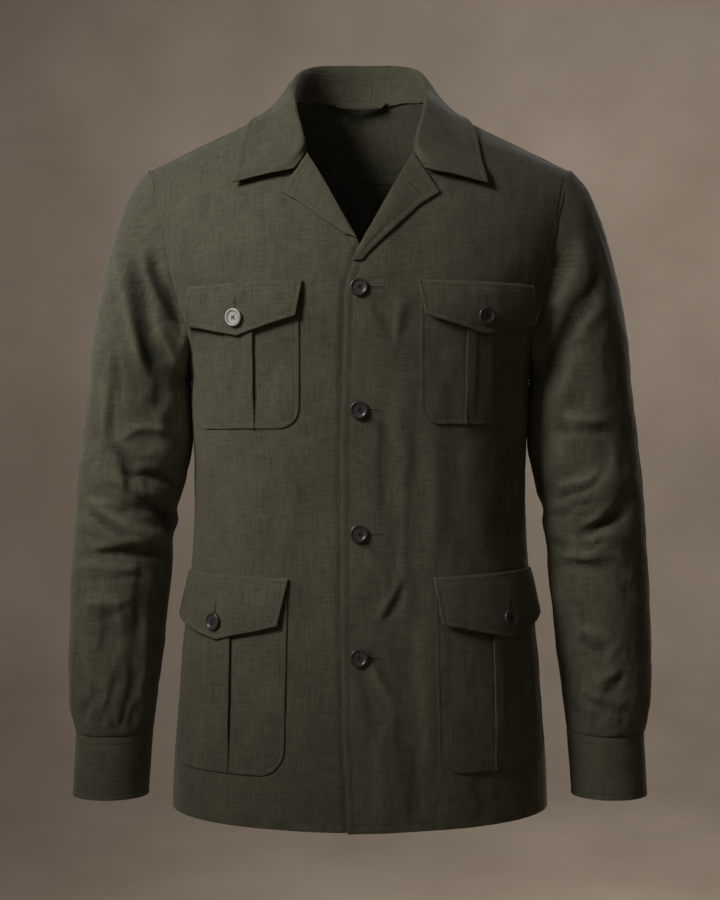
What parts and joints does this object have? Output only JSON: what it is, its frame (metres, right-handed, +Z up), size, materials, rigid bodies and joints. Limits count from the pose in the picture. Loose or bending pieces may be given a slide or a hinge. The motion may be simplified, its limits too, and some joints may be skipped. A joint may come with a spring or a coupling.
{
  "type": "safari jacket",
  "caption": "Unlined linen safari jacket, filled out and buttoned with no wearer: open collar and lapels, flapped box-pleat patch pockets, long sleeves with plain cuffs.",
  "frame": {"origin": "the shoulder carry point: the middle of the line between the shoulder points at the foot of the neck", "axes": "+Z up, along the wearer's spine; the front faces -Y; +X towards the wearer's left arm"},
  "size_m": [0.604, 0.2703, 0.7981],
  "materials": {
    "linen": "matte slubbed plain weave",
    "horn_button": "polished dark horn",
    "pale_button": "polished pale horn"
  },
  "bodies": {
    "root": {"back_left": "linen", "back_right": "linen", "back_yoke": "linen", "button_chest_left": "horn_button", "button_chest_right": "pale_button", "button_front_1": "horn_button", "button_front_2": "horn_button", "button_front_3": "horn_button", "button_front_4": "horn_button", "button_lower_left": "horn_button", "button_lower_right": "horn_button", "collar": "linen", "cuff_left": "linen", "cuff_right": "linen", "flap_chest_left": "linen", "flap_chest_right": "linen", "flap_lower_left": "linen", "flap_lower_right": "linen", "front_left": "linen", "front_right": "linen", "hanger_loop": "linen", "lapel_left": "linen", "lapel_right": "linen", "pocket_chest_left": "linen", "pocket_chest_right": "linen", "pocket_lower_left": "linen", "pocket_lower_right": "linen", "sleeve_left": "linen", "sleeve_right": "linen"}
  },
  "joints": []
}
